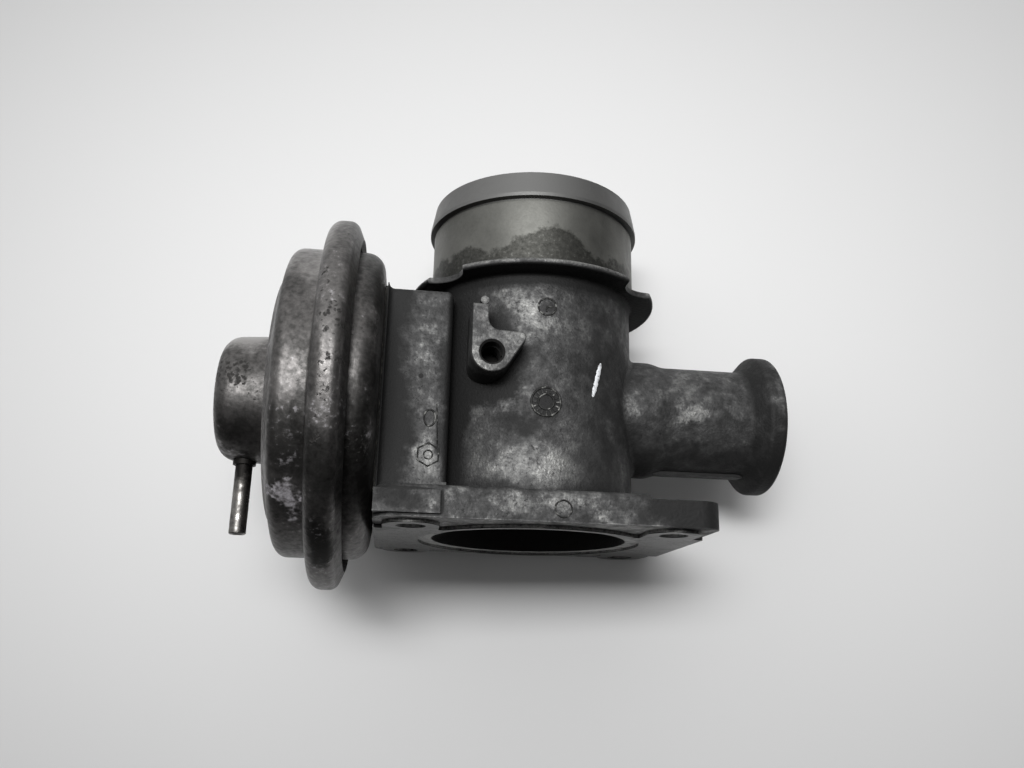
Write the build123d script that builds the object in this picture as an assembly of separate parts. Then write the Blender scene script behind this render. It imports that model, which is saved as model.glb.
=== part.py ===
from build123d import *
import math
import os

# Vacuum-operated exhaust gas recirculation valve. Millimetres.
# Z runs up the air duct from the centre of its mounting face. The valve stem lies along X:
# exhaust comes in from +X, and the vacuum actuator pulls the stem towards -X.

# ---------------------------------------------------------------- driving dimensions
# Air duct, hose spigot and clamp collar
bore_r = 23.5              # inside radius of the duct
duct_wall = 2.0
spigot_wall = 2.9          # the machined hose spigot is a little thicker
duct_top = 87.3
lip_height = 6.8           # hose lip at the top of the spigot
lip_rise = 1.1             # how far it stands out of the spigot
lip_land = 0.9             # straight part of the lip under its taper
undercut_depth = 0.5
undercut_width = 0.9
bore_chamfer = 0.6         # inner edge at the hose end
mouth_step = 3.5           # shallow step round the duct at the mounting face
mouth_depth = 0.6
duct_foot = 1.2            # fillet where the duct meets the flange
collar_z = 60.8            # underside of the collar
collar_thick = 1.5
collar_reach = 5.3         # how far it stands out of the spigot
collar_edge = 0.6
collar_root = 0.9          # fillet under the collar
notch_r = 7.6              # two round notches in the collar's front
notch_out = 3.8            # their centres lie this far outside the collar
notch_angle = 39.0         # degrees from the X axis

# Mounting flange
flange_end = 8.75          # plate beyond the bolts on the exhaust side
flange_side = 9.5          # plate beyond the bolts at both sides
flange_thick = 7.8
flange_corner = 5.0
flange_round = 1.5
face_rise = 0.8            # the machined face stands below the cast plate
face_ring = 5.4            # its width round the duct
face_tail_y = 19.0         # its half width where it runs out to both ends
bolt_x = 29.25
bolt_y = 24.9
bolt_hole_r = 3.3
bolt_lobe = 2.9            # machined face left round each bolt hole
bolt_seat_r = 12.0         # seats for the two outer bolt heads
bolt_seat_cut = 1.2
edge_pad_x = 14.0          # plain rectangular pad on the flange's front edge
edge_pad_z = 4.9
edge_pad_rise = 0.8
edge_pad_base = 1.5
edge_pad_depth = 4.0

# Neck between the duct and the actuator
stem_z = 32.7              # stem axis above the mounting face
neck_reach = 14.0          # neck face beyond the bore; it carries the actuator
neck_inset = 3.8           # how far the block reaches inside the duct's outer radius
neck_half = 19.5
neck_rise = 24.6           # top of the neck above the stem axis
neck_edge = 1.5
neck_flare = 1.4           # the neck widens where it meets the actuator
neck_rim = 0.3             # straight part of the widened end
neck_flare_land = 0.1      # flat left outside the flare's round
neck_foot = 3.0
pocket_width = 5.2         # cored ring round the stem guide
pocket_depth = 9.5
guide_wall = 3.0           # wall of the guide boss round its bush
guide_reach = 3.5          # how far the guide boss stands into the duct
gasket_thick = 0.5
gasket_inset = 0.8         # its edge lies inside the neck's outline
screw_r = 2.0
screw_land = 4.0           # screw centres outside the cored ring
screw_depth = 9.0
screw_spare = 1.0          # hole left below the screw's end
head_r = 3.7
head_height = 2.2
head_round = 0.9
screw_count = 3
screw_fit = 0.02

# Bracket lug on the front of the duct
lug_reach = 6.5            # lug face in front of the duct
lug_x = -13.4
lug_z = 38.4
lug_r = 4.6
lug_hole_r = 2.5
lug_hole_depth = 9.0
lug_hole_mouth = 0.5       # countersink
lug_tip_across = 8.6       # pointed tip from the hole's centre
lug_tip_up = 5.0
lug_tip_round = 1.2
lug_shoulder = 0.4         # slope of the shoulder from tip to rib
lug_inner_corner = 2.6
lug_rib_width = 3.7
lug_rib_up = 11.4          # top of the rib above the hole's centre
lug_pin_r = 0.95
lug_pin_side = 0.8         # pin mark from the middle of the rib
lug_pin_up = 0.75          # and above its top
lug_edge = 0.35

# Exhaust inlet pipe and its clamp flange
pipe_bore_r = 11.5
pipe_wall = 2.5
inlet_reach = 36.15        # pipe end beyond the duct
pipe_boss_rise = 1.0       # thicker boss next to the duct
pipe_boss_reach = 4.5
pipe_boss_taper = 3.5
pipe_boss_round = 6.0      # soft ends of the taper
clamp_rise = 4.0           # conical clamp flange round the pipe
clamp_flare = 3.5          # length of its cone
clamp_flange_width = 4.15
clamp_edge = 1.3
clamp_root = 1.6
clamp_mouth = 1.6          # sealing cone inside the flange
pipe_root = 1.2
pipe_rib_width = 3.4       # flat casting rib under the pipe
pipe_rib_rise = 0.45
pipe_rib_y = -1.5          # a little to the front

# Valve seat, disc and stem
seat_stand = 5.3           # how far the seat ring stands into the duct
seat_length = 9.3
seat_wall = 2.0
seat_step = 0.5            # its bore is this much tighter than the pipe
seat_chamfer = 1.4
seat_gap = 0.05            # between disc and seat when shut
disc_overlap = 1.2         # disc rim outside the seat's bore
disc_edge = 1.4            # straight rim of the disc
disc_cone = 1.6
disc_back = 3.4            # tulip behind the rim
disc_neck_r = 4.6
stem_r = 3.0
stem_fit = 0.05
disc_hole_r = 2.2
rivet_r = 4.0
rivet_height = 1.3
rivet_land = 0.2           # straight edge under the rivet's round
thread_r = 2.5
thread_past_nut = 0.8
stroke = 7.0

# Guide bush, seals and soot shield
bush_wall = 2.0
bush_length = 11.0
scraper_length = 2.5
seal_length = 3.0
seal_fit = 0.02
retainer_sheet = 0.6
retainer_hole_gap = 0.8
retainer_skirt = 3.0
shield_sheet = 0.8
shield_skirt = 1.6
shield_hole_gap = 0.7

# Pressed shells of the actuator
sheet = 1.2
can_r = 37.9
dish_depth = 8.4
dish_slope = 7.9           # width of the sloping band round the dish's flat floor
dish_fall = 1.0            # how far that band falls back
dish_corner = 4.5
floor_hole_gap = 0.5
vent_r = 1.5
vent_inset = 3.0
rim_reach = 7.3            # how far the rolled rim stands out of the can
rim_gap = 0.8              # dish flange inside the rolled rim
rim_corner = 3.0
bead_thick = 3.2
bead_edge = 1.2            # dish flange outside the bead
bead_width = 2.6
rolled_lip_lean = 1.8      # slant of the rolled lip
rolled_lip_gap = 3.0       # its end stands this far outside the dish
rolled_lip_bend = 2.4
can_length = 10.4          # rim to end face
can_corner = 3.0
can_slope = 1.7            # the end slopes back towards its edge
can_slope_width = 6.5
end_step = 0.7
end_step_width = 1.4
tower_r = 15.0
tower_draft = 1.0
tower_length = 13.9
tower_corner = 4.5
tower_root = 1.5
bend = 1.0                 # outside radius of the small bends

# Vacuum nipple
nipple_r = 2.0
nipple_bore_r = 1.2
nipple_setback = 6.8       # from the tower's end
nipple_length = 17.6       # below the tower
nipple_chamfer = 0.25
nipple_collar_rise = 0.7   # brazed collar
nipple_collar = 1.0
nipple_inside = 0.6

# Diaphragm, its plates and the return spring
head_gap = 1.2             # screw heads to the backing plate
backing_inset = 6.5        # backing plate inside the cup's radius
backing_thick = 1.0
backing_edge = 0.3
rubber = 0.8
roll_room = 8.2            # between the cup and the can, for the rolled fold
roll_start = 2.7
roll_end = 2.1
roll_bends = (2.0, 1.6)
bead_lap = 0.4             # membrane inside its bead
cup_sheet = 1.0
cup_corner = 2.0
stop_gap = 0.3             # cup skirt to the end face at full stroke
washer_r = 7.0
washer_thick = 1.0
nut_r = 4.6
nut_height = 3.0
spring_room = 4.3          # tower's outside to the middle of the wire
wire_r = 1.0
spring_turns = 6.0
spring_gap = 0.1
spring_seat_thick = 1.0
spring_seat_edge = 0.7     # bevel that clears the tower's corner
spring_guide_gap = 0.5
spring_guide_height = 3.0
spring_guide_wall = 1.6

# ---------------------------------------------------------------- radii that follow
duct_r = bore_r + duct_wall
spigot_r = bore_r + spigot_wall
lip_r = spigot_r + lip_rise
lip_z = duct_top - lip_height
mouth_r = bore_r + mouth_step
collar_r = spigot_r + collar_reach
flange_x = bolt_x + flange_end
flange_y = bolt_y + flange_side
lug_face_y = -duct_r - lug_reach
pipe_r = pipe_bore_r + pipe_wall
pipe_boss_r = pipe_r + pipe_boss_rise
clamp_flange_r = pipe_r + clamp_rise
seat_bore_r = pipe_bore_r - seat_step
seat_r = seat_bore_r + seat_wall
disc_r = seat_bore_r + disc_overlap
bush_r = stem_r + bush_wall
guide_boss_r = bush_r + guide_wall
pocket_r = guide_boss_r + pocket_width
screw_circle = pocket_r + screw_land
neck_top = stem_z + neck_rise
dish_floor_r = can_r - dish_slope
vent_circle = dish_floor_r - vent_inset
rim_r = can_r + rim_reach
dish_flange_r = rim_r - sheet - rim_gap
bead_outer_r = dish_flange_r - bead_edge
bead_inner_r = bead_outer_r - bead_width
can_slope_r = can_r - can_slope_width
end_step_r = can_slope_r - end_step_width
cup_r = can_r - sheet - roll_room
backing_r = cup_r - backing_inset
spring_r = tower_r - spring_room

# ---------------------------------------------------------------- places along the stem
mount_x = -bore_r - neck_reach
neck_inner_x = neck_inset - duct_r
floor_x = mount_x - gasket_thick
dish_flange_x = floor_x - dish_depth
bead_x = dish_flange_x - sheet
can_rim_x = bead_x - bead_thick - sheet
end_face_x = can_rim_x - can_length
tower_end_x = end_face_x - tower_length
backing_x = floor_x - sheet - head_height - head_gap
rubber_x = backing_x - backing_thick
cup_x = rubber_x - rubber
washer_x = cup_x - cup_sheet
nut_x = washer_x - washer_thick
stem_end_x = nut_x - nut_height - thread_past_nut
nipple_x = tower_end_x + nipple_setback
nipple_root_r = tower_r + tower_draft * nipple_setback / tower_length
nipple_end_z = stem_z - nipple_root_r - nipple_length
guide_end_x = guide_reach - bore_r
pipe_boss_x = duct_r + pipe_boss_reach
pipe_end_x = duct_r + inlet_reach
clamp_flange_x = pipe_end_x - clamp_flange_width
pipe_flare_x = clamp_flange_x - clamp_flare
seat_x = bore_r - seat_stand
seat_end_x = seat_x + seat_length
disc_front_x = seat_x + seat_bore_r + seat_chamfer - seat_gap * math.sqrt(2) - disc_r + disc_cone
disc_back_x = disc_front_x - disc_cone - disc_edge - disc_back


# ---------------------------------------------------------------- helpers
def turned(profile):
    """Turn an (x, radius) face round the stem axis."""
    return Pos(0, 0, stem_z) * revolve(profile, axis=Axis.X)


def pressed(points, bends, thickness):
    """Sheet metal turned round the stem axis; points are (x, radius) along its outer side."""
    outer = FilletPolyline(*points, radius=bends)
    return turned(make_face(offset(outer, amount=thickness, side=Side.LEFT, closed=True)))


def rod(radius, x0, x1):
    """A cylinder on the stem axis from x0 to x1."""
    place = Pos(min(x0, x1), 0, stem_z) * Rot(0, 90, 0)
    return place * Cylinder(radius, abs(x1 - x0), align=(Align.CENTER, Align.CENTER, Align.MIN))


def upright(radius, z0, z1, x=0.0, y=0.0):
    """A cylinder along Z from z0 to z1."""
    return Pos(x, y, z0) * Cylinder(radius, z1 - z0, align=(Align.CENTER, Align.CENTER, Align.MIN))


def ring(outer_r, inner_r, x0, x1):
    return rod(outer_r, x0, x1) - rod(inner_r, x0, x1)


def countersink(radius, depth):
    """A 45 degree cone for a hole's mouth: it reaches z = 0 wider by its depth."""
    return Cone(radius, radius + depth, depth, align=(Align.CENTER, Align.CENTER, Align.MAX))


def foot_section(wall, floor, radius):
    """Concave foot between an upright wall and the flat floor beside it, as a face."""
    low = Vector(wall + radius, floor)
    high = Vector(wall, floor + radius)
    inner = Vector(wall, floor)
    return make_face([RadiusArc(low, high, radius), Line(high, inner), Line(inner, low)])


def screw_places():
    """Screw positions round the stem, the first one straight up."""
    angles = [math.radians(90 + 360 / screw_count * i) for i in range(screw_count)]
    return [(screw_circle * math.cos(a), stem_z + screw_circle * math.sin(a)) for a in angles]


def bolt_places():
    return [(x, y) for x in (-bolt_x, bolt_x) for y in (-bolt_y, bolt_y)]


# ---------------------------------------------------------------- the cast housing
def duct_body():
    """Duct, collar, spigot and hose lip as one turned form, still solid inside."""
    collar_top = collar_z + collar_thick
    outline = Polyline(
        (0, face_rise),
        (duct_r, face_rise),
        (duct_r, collar_z),
        (collar_r, collar_z),
        (collar_r, collar_top),
        (spigot_r, collar_top),
        (spigot_r, lip_z - undercut_width),
        (spigot_r - undercut_depth, lip_z - undercut_width),
        (spigot_r - undercut_depth, lip_z),
        (lip_r, lip_z),
        (lip_r, lip_z + lip_land),
        (spigot_r, duct_top),
        (0, duct_top),
        close=True,
    )
    shape = make_face(outline)
    for z in (collar_z, collar_top):
        shape = fillet(shape.vertices().sort_by_distance((collar_r, z))[0], collar_edge)
    shape = fillet(shape.vertices().sort_by_distance((duct_r, collar_z))[0], collar_root)
    body = revolve(Plane.XZ * shape, axis=Axis.Z)
    body += revolve(Plane.XZ * foot_section(duct_r, flange_thick, duct_foot), axis=Axis.Z)
    for side in (-1, 1):
        angle = math.radians(90 - side * (90 - notch_angle))
        x = (collar_r + notch_out) * math.cos(angle)
        y = -(collar_r + notch_out) * math.sin(angle)
        notch = upright(notch_r, collar_z - 0.5, collar_top + 0.5, x, y)
        body -= notch - upright(spigot_r, collar_z - 1, collar_top + 1)
    return body


def flange_plate():
    """Cast plate with its machined face, bolt head seats and front pad."""
    length = flange_x - mount_x
    centre = (flange_x + mount_x) / 2
    outline = Pos(centre, 0) * RectangleRounded(length, 2 * flange_y, flange_corner)
    plate = Pos(0, 0, face_rise) * extrude(outline, flange_thick - face_rise)
    plate = fillet(plate.edges().group_by(Axis.Z)[-1], flange_round)
    lobe_r = bolt_hole_r + bolt_lobe
    face = Circle(bore_r + face_ring)
    face += Pos(centre, 0) * Rectangle(length, 2 * face_tail_y)
    for side in (-1, 1):
        face += Pos(side * bolt_x, 0) * Rectangle(2 * lobe_r, 2 * bolt_y)
    for x, y in bolt_places():
        face += Pos(x, y) * Circle(lobe_r)
    face &= outline
    plate += extrude(face, face_rise + 0.5)
    for x, y in bolt_places():
        if x > 0:
            plate -= upright(bolt_seat_r, flange_thick - bolt_seat_cut, flange_thick + 1, x, y)
    pad = Box(edge_pad_x, edge_pad_depth, edge_pad_z, align=(Align.MIN, Align.MIN, Align.MIN))
    return plate + Pos(mount_x, -flange_y - edge_pad_rise, edge_pad_base) * pad


def neck():
    """Rectangular neck that carries the actuator, wider where it meets the dish."""
    place = (Align.MIN, Align.CENTER, Align.MIN)
    half = neck_half + neck_flare
    block = Box(neck_inner_x - mount_x, 2 * neck_half, neck_top, align=place)
    block = fillet(block.edges().group_by(Axis.Z)[-1] + block.edges().filter_by(Axis.Z), neck_edge)
    wide = Box(neck_rim, 2 * half, neck_top + neck_flare, align=place)
    top = wide.edges().filter_by(Axis.X).group_by(Axis.Z)[-1]
    wide = fillet(top, neck_edge + neck_flare)
    body = Pos(mount_x, 0, 0) * (block + wide)
    step = body.edges().filter_by_position(Axis.X, mount_x + neck_rim, mount_x + neck_rim)
    inner = [e for e in step if abs(e.center().Y) <= neck_half and
             face_rise < e.center().Z <= neck_top]
    return fillet(inner, neck_flare - neck_flare_land)


def lug():
    """Tapped bracket lug with a rib above it and a small ejector pin mark."""
    left = lug_x - lug_r
    rib_x = left + lug_rib_width
    rib_top = lug_z + lug_rib_up
    tip = Vector(lug_x + lug_tip_across, lug_z + lug_tip_up)
    reach = tip - Vector(lug_x, lug_z)
    turn = math.atan2(reach.Y, reach.X) - math.acos(lug_r / reach.length)
    touch = (lug_x + lug_r * math.cos(turn), lug_z + lug_r * math.sin(turn))
    shoulder = (rib_x, tip.Y + lug_shoulder)
    outline = Polyline((left, lug_z), touch, (tip.X, tip.Y), shoulder, (rib_x, rib_top),
                       (left, rib_top), close=True)
    shape = make_face(outline) + Pos(lug_x, lug_z) * Circle(lug_r)
    shape = fillet(shape.vertices().sort_by_distance(shoulder)[0], lug_inner_corner)
    shape = fillet(shape.vertices().sort_by_distance((tip.X, tip.Y))[0], lug_tip_round)
    front = Plane((0, lug_face_y, 0), x_dir=(1, 0, 0), z_dir=(0, -1, 0))
    body = extrude(front * shape, lug_face_y)
    body = fillet(body.edges().group_by(Axis.Y)[0], lug_edge)
    pin = Pos((left + rib_x) / 2 + lug_pin_side, rib_top + lug_pin_up) * Circle(lug_pin_r)
    return body + extrude(front * pin, lug_face_y)


def inlet_pipe():
    """Exhaust inlet with its boss, conical clamp flange and casting rib, still solid inside."""
    outline = Polyline(
        (0, 0),
        (0, pipe_boss_r),
        (pipe_boss_x, pipe_boss_r),
        (pipe_boss_x + pipe_boss_taper, pipe_r),
        (pipe_flare_x, pipe_r),
        (clamp_flange_x, clamp_flange_r),
        (pipe_end_x, clamp_flange_r),
        (pipe_end_x, 0),
        close=True,
    )
    shape = make_face(outline)
    for x in (clamp_flange_x, pipe_end_x):
        shape = fillet(shape.vertices().sort_by_distance((x, clamp_flange_r))[0], clamp_edge)
    shape = fillet(shape.vertices().sort_by_distance((pipe_flare_x, pipe_r))[0], clamp_root)
    for place in ((pipe_boss_x, pipe_boss_r), (pipe_boss_x + pipe_boss_taper, pipe_r)):
        shape = fillet(shape.vertices().sort_by_distance(place)[0], pipe_boss_round)
    return turned(shape)


def neck_feet():
    """Concave feet between the neck's sides and the flange."""
    place = Plane((mount_x, 0, 0), x_dir=(0, 1, 0), z_dir=(1, 0, 0))
    foot = extrude(place * foot_section(neck_half, flange_thick, neck_foot), neck_inner_x - mount_x)
    return foot + mirror(foot, about=Plane.XZ)


def duct_and_pipe():
    """Duct and inlet pipe with the fillet where they meet."""
    body = duct_body() + inlet_pipe()
    curves = body.edges().filter_by(GeomType.BSPLINE)
    joint = [e for e in curves if e.center().X > pipe_r and e.center().Z < stem_z + pipe_boss_r]
    return fillet(joint, pipe_root)


def pipe_rib():
    """Flat rib along the underside of the inlet pipe, up to the clamp flange's cone."""
    depth = pipe_r + pipe_rib_rise
    rib = Box(clamp_flange_x - pipe_boss_x, pipe_rib_width, depth,
              align=(Align.MIN, Align.CENTER, Align.MAX))
    return Pos(pipe_boss_x, pipe_rib_y, stem_z) * rib


def valve_housing():
    body = duct_and_pipe() + pipe_rib() + flange_plate() + neck() + neck_feet() + lug()
    body -= upright(bore_r, -1, duct_top + 1)
    body -= Pos(0, 0, duct_top) * countersink(bore_r, bore_chamfer)
    body -= upright(mouth_r, -1, mouth_depth)
    body -= rod(pipe_bore_r, 0, pipe_end_x + 1)
    body -= rod(seat_r, 0, seat_end_x)
    body -= Pos(pipe_end_x, 0, stem_z) * Rot(0, 90, 0) * countersink(pipe_bore_r, clamp_mouth)
    body -= ring(pocket_r, guide_boss_r, mount_x, mount_x + pocket_depth)
    body += rod(guide_boss_r, mount_x + pocket_depth, guide_end_x)
    body -= rod(bush_r, mount_x - 1, guide_end_x + 1)
    for y, z in screw_places():
        hole = Pos(mount_x, y, z) * Rot(0, 90, 0)
        body -= hole * Cylinder(screw_r + screw_fit, 2 * screw_depth)
    for x, y in bolt_places():
        body -= upright(bolt_hole_r, -1, flange_thick + 1, x, y)
    tapped = Cylinder(lug_hole_r, 2 * lug_hole_depth) + countersink(lug_hole_r, lug_hole_mouth)
    return body - Pos(lug_x, lug_face_y, lug_z) * Rot(90, 0, 0) * tapped


# ---------------------------------------------------------------- valve, stem and guide
def valve_seat():
    """Steel ring pressed into the inlet, with a 45 degree seat on its duct side."""
    outline = Polyline(
        (seat_x, seat_bore_r + seat_chamfer),
        (seat_x + seat_chamfer, seat_bore_r),
        (seat_end_x, seat_bore_r),
        (seat_end_x, seat_r),
        (seat_x, seat_r),
        close=True,
    )
    return turned(make_face(outline))


def valve_disc():
    """Tulip disc; its 45 degree face closes on the seat ring."""
    rim_x = disc_front_x - disc_cone
    outline = Polyline(
        (disc_back_x, disc_hole_r),
        (disc_back_x, disc_neck_r),
        (rim_x - disc_edge, disc_r),
        (rim_x, disc_r),
        (disc_front_x, disc_r - disc_cone),
        (disc_front_x, disc_hole_r),
        close=True,
    )
    return turned(make_face(outline))


def valve_stem():
    """Guided shank, a thin end riveted through the disc and a thread through the plates."""
    stem = rod(thread_r, stem_end_x, backing_x) + rod(stem_r, backing_x, disc_back_x)
    stem += rod(disc_hole_r, disc_back_x, disc_front_x)
    head = rod(rivet_r, disc_front_x, disc_front_x + rivet_height)
    outer = head.edges().sort_by(Axis.X)[-1]
    return stem + fillet(outer, rivet_height - rivet_land)


def guide_bush():
    end = guide_end_x - scraper_length
    return ring(bush_r, stem_r + stem_fit, end - bush_length, end)


def stem_scraper():
    return ring(bush_r, stem_r + stem_fit, guide_end_x - scraper_length, guide_end_x)


def stem_seal():
    end = guide_end_x - scraper_length - bush_length
    return ring(bush_r, stem_r + seal_fit, end - seal_length, end)


def seal_retainer():
    """Pressed cap over the actuator end of the guide boss."""
    outer_r = guide_boss_r + retainer_sheet
    face_x = mount_x - retainer_sheet
    points = [(mount_x + retainer_skirt, outer_r), (face_x, outer_r),
              (face_x, stem_r + retainer_hole_gap)]
    shape = offset(Polyline(*points), amount=retainer_sheet, side=Side.LEFT, closed=True)
    return turned(make_face(shape))


def soot_shield():
    """Pressed cap over the duct end of the guide boss."""
    outer_r = guide_boss_r + shield_sheet
    face_x = guide_end_x + shield_sheet
    points = [(face_x, stem_r + shield_hole_gap), (face_x, outer_r),
              (guide_end_x - shield_skirt, outer_r)]
    shape = offset(Polyline(*points), amount=shield_sheet, side=Side.LEFT, closed=True)
    return turned(make_face(shape))


# ---------------------------------------------------------------- actuator
def shell_gasket():
    """Flat gasket on the neck face, cut to its outline above the flange."""
    half = neck_half + neck_flare - gasket_inset
    top = neck_top + neck_flare - gasket_inset
    plate = Box(gasket_thick, 2 * half, top - flange_thick,
                align=(Align.MIN, Align.CENTER, Align.MAX))
    corners = plate.edges().filter_by(Axis.X).group_by(Axis.Z)[-1]
    plate = fillet(corners, neck_edge + neck_flare - gasket_inset)
    body = Pos(floor_x, 0, top) * plate - rod(pocket_r, floor_x, mount_x)
    for y, z in screw_places():
        body -= Pos(mount_x, y, z) * Rot(0, 90, 0) * Cylinder(screw_r + screw_fit, 4 * gasket_thick)
    return body


def lower_shell():
    """Pressed dish; its flange is held inside the rolled rim of the upper shell."""
    hole_r = guide_boss_r + retainer_sheet + floor_hole_gap
    points = [(floor_x, hole_r), (floor_x, dish_floor_r), (floor_x - dish_fall, can_r),
              (dish_flange_x, can_r), (dish_flange_x, dish_flange_r)]
    body = pressed(points, (2 * bend, dish_corner, bend), sheet)
    for y, z in screw_places():
        body -= Pos(floor_x, y, z) * Rot(0, 90, 0) * Cylinder(screw_r + screw_fit, 4 * sheet)
    vent = Pos(floor_x, vent_circle, stem_z) * Rot(0, 90, 0)
    return body - vent * Cylinder(vent_r, 4 * sheet)


def shell_screws():
    """Pan head screws that hold the dish to the neck."""
    shank = Cylinder(screw_r, gasket_thick + sheet + screw_depth - screw_spare,
                     align=(Align.CENTER, Align.CENTER, Align.MIN))
    head = Cylinder(head_r, head_height, align=(Align.CENTER, Align.CENTER, Align.MAX))
    head = fillet(head.edges().sort_by(Axis.Z)[0], head_round)
    screw = Rot(0, 90, 0) * (shank + head)
    return Compound(children=[Pos(floor_x - sheet, y, z) * screw for y, z in screw_places()])


def upper_shell():
    """Pressed can and spring tower; its rim is rolled over bead and dish flange."""
    lip_start_x = dish_flange_x + sheet / 2
    points = [
        (lip_start_x + rolled_lip_lean, can_r + rolled_lip_gap),
        (lip_start_x, rim_r),
        (can_rim_x, rim_r),
        (can_rim_x, can_r),
        (end_face_x + end_step + can_slope, can_r),
        (end_face_x + end_step, can_slope_r),
        (end_face_x, end_step_r),
        (end_face_x, tower_r + tower_draft),
        (tower_end_x, tower_r),
        (tower_end_x, 0),
    ]
    bends = (rolled_lip_bend, rim_corner, bend, can_corner, bend, bend / 2, tower_root,
             tower_corner)
    return pressed(points, bends, sheet) - upright(nipple_r, nipple_end_z, stem_z, nipple_x)


def vacuum_nipple():
    """Steel tube brazed into the underside of the tower."""
    root_z = stem_z - nipple_root_r
    top = root_z + sheet + nipple_inside
    collar_r = nipple_r + nipple_collar_rise
    tube = upright(nipple_r, nipple_end_z, top, nipple_x)
    tube = chamfer(tube.edges().sort_by(Axis.Z)[0], nipple_chamfer)
    collar = upright(collar_r, root_z - nipple_collar, stem_z, nipple_x)
    tower = Polyline((tower_end_x, 0), (tower_end_x, tower_r), (end_face_x, tower_r + tower_draft),
                     (end_face_x, 0), close=True)
    body = tube + (collar - turned(make_face(tower)))
    return body - upright(nipple_bore_r, nipple_end_z - 1, top + 1, nipple_x)


def backing_plate():
    outline = Polyline((backing_x, thread_r), (backing_x, backing_r), (rubber_x, backing_r),
                       (rubber_x, thread_r), close=True)
    shape = make_face(outline)
    rim = shape.vertices().group_by(Axis.Y)[-1]
    return turned(fillet(rim, backing_edge))


def diaphragm():
    """Rubber diaphragm with a rolled fold and a clamped bead."""
    outer_x = bead_x - bead_thick / 2 + rubber / 2
    membrane = [(rubber_x, thread_r), (rubber_x, cup_r + roll_start),
                (outer_x, can_r - sheet - roll_end), (outer_x, bead_inner_r + bead_lap)]
    body = pressed(membrane, roll_bends, rubber)
    return body + ring(bead_outer_r, bead_inner_r, bead_x, bead_x - bead_thick)


def diaphragm_plate():
    """Cup on the spring side; its skirt carries the fold and ends the stroke."""
    skirt_end = end_face_x + sheet + stop_gap + stroke
    points = [(cup_x, thread_r), (cup_x, cup_r), (skirt_end, cup_r)]
    return pressed(points, cup_corner, cup_sheet)


def stem_washer():
    return ring(washer_r, thread_r, washer_x, nut_x)


def stem_nut():
    end = nut_x - nut_height
    across = RegularPolygon(nut_r, 6)
    place = Pos(end, 0, stem_z) * Rot(0, 90, 0)
    return place * extrude(across, nut_height) - rod(thread_r, end, nut_x)


def return_spring():
    """Compression spring from the cup to the end of the tower."""
    start = tower_end_x + sheet + spring_seat_thick + spring_gap + wire_r
    end = washer_x - spring_gap - wire_r
    length = end - start
    path = Helix(pitch=length / spring_turns, height=length, radius=spring_r)
    wire = Plane(origin=path @ 0, z_dir=path % 0) * Circle(wire_r)
    return Pos(start, 0, stem_z) * Rot(0, 90, 0) * sweep(wire, path=path)


def spring_seat():
    """Ring in the end of the tower with a spigot that centres the spring."""
    start = tower_end_x + sheet
    top = start + spring_seat_thick + spring_guide_height
    guide_r = spring_r - wire_r - spring_guide_gap
    body = rod(tower_r - tower_corner + spring_seat_edge, start, start + spring_seat_thick)
    body = chamfer(body.edges().sort_by(Axis.X)[0], spring_seat_edge)
    body += rod(guide_r, start, top)
    return body - rod(guide_r - spring_guide_wall, start - 1, top + 1)


# ---------------------------------------------------------------- output
NODES = {
    "valve_housing": valve_housing,
    "valve_seat": valve_seat,
    "valve_disc": valve_disc,
    "valve_stem": valve_stem,
    "guide_bush": guide_bush,
    "stem_scraper": stem_scraper,
    "stem_seal": stem_seal,
    "seal_retainer": seal_retainer,
    "soot_shield": soot_shield,
    "shell_gasket": shell_gasket,
    "lower_shell": lower_shell,
    "shell_screws": shell_screws,
    "upper_shell": upper_shell,
    "vacuum_nipple": vacuum_nipple,
    "backing_plate": backing_plate,
    "diaphragm": diaphragm,
    "diaphragm_plate": diaphragm_plate,
    "stem_washer": stem_washer,
    "stem_nut": stem_nut,
    "return_spring": return_spring,
    "spring_seat": spring_seat,
}

os.makedirs("parts", exist_ok=True)
for name, make in NODES.items():
    export_step(make(), f"parts/{name}.step")
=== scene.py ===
import math
import bmesh
import bpy
from mathutils import Matrix, Vector


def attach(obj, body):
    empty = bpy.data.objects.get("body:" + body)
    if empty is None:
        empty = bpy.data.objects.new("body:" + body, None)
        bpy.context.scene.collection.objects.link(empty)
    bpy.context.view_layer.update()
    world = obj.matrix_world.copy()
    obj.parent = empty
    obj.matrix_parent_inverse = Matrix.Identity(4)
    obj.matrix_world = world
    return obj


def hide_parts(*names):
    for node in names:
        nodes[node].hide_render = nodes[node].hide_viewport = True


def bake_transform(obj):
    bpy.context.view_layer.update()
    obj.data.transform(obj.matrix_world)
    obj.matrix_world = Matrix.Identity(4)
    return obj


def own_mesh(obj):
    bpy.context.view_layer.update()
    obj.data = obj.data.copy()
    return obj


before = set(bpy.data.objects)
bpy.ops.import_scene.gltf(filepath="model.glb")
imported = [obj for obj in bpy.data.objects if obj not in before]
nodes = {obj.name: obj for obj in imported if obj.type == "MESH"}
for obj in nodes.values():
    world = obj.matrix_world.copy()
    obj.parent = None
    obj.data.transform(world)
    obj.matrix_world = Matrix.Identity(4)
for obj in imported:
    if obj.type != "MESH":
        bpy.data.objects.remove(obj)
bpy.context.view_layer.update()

# ---------------------------------------------------------------- valve housing
# One gravity casting in an aluminium-silicon alloy: flange, air duct, hose spigot, neck and inlet
# pipe. The spigot, the hose lip and the mounting face are turned or milled, the rest is as cast.
# Years of oil mist and soot have left it dark, with bare metal where it was rubbed or handled.
STEM_Z = 0.0327
LUG_X, LUG_Z = -0.0134, 0.0384     # tapped hole of the bracket lug
NECK_END_X = -0.0217               # the neck's flat side ends at the recess beside the duct
LUG_FACE_Y = -0.0318
LUG_HOLE_END_Y = -0.0225
FLANGE_TOP_Z = 0.0088
COLLAR_TOP_Z = 0.0618
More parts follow.
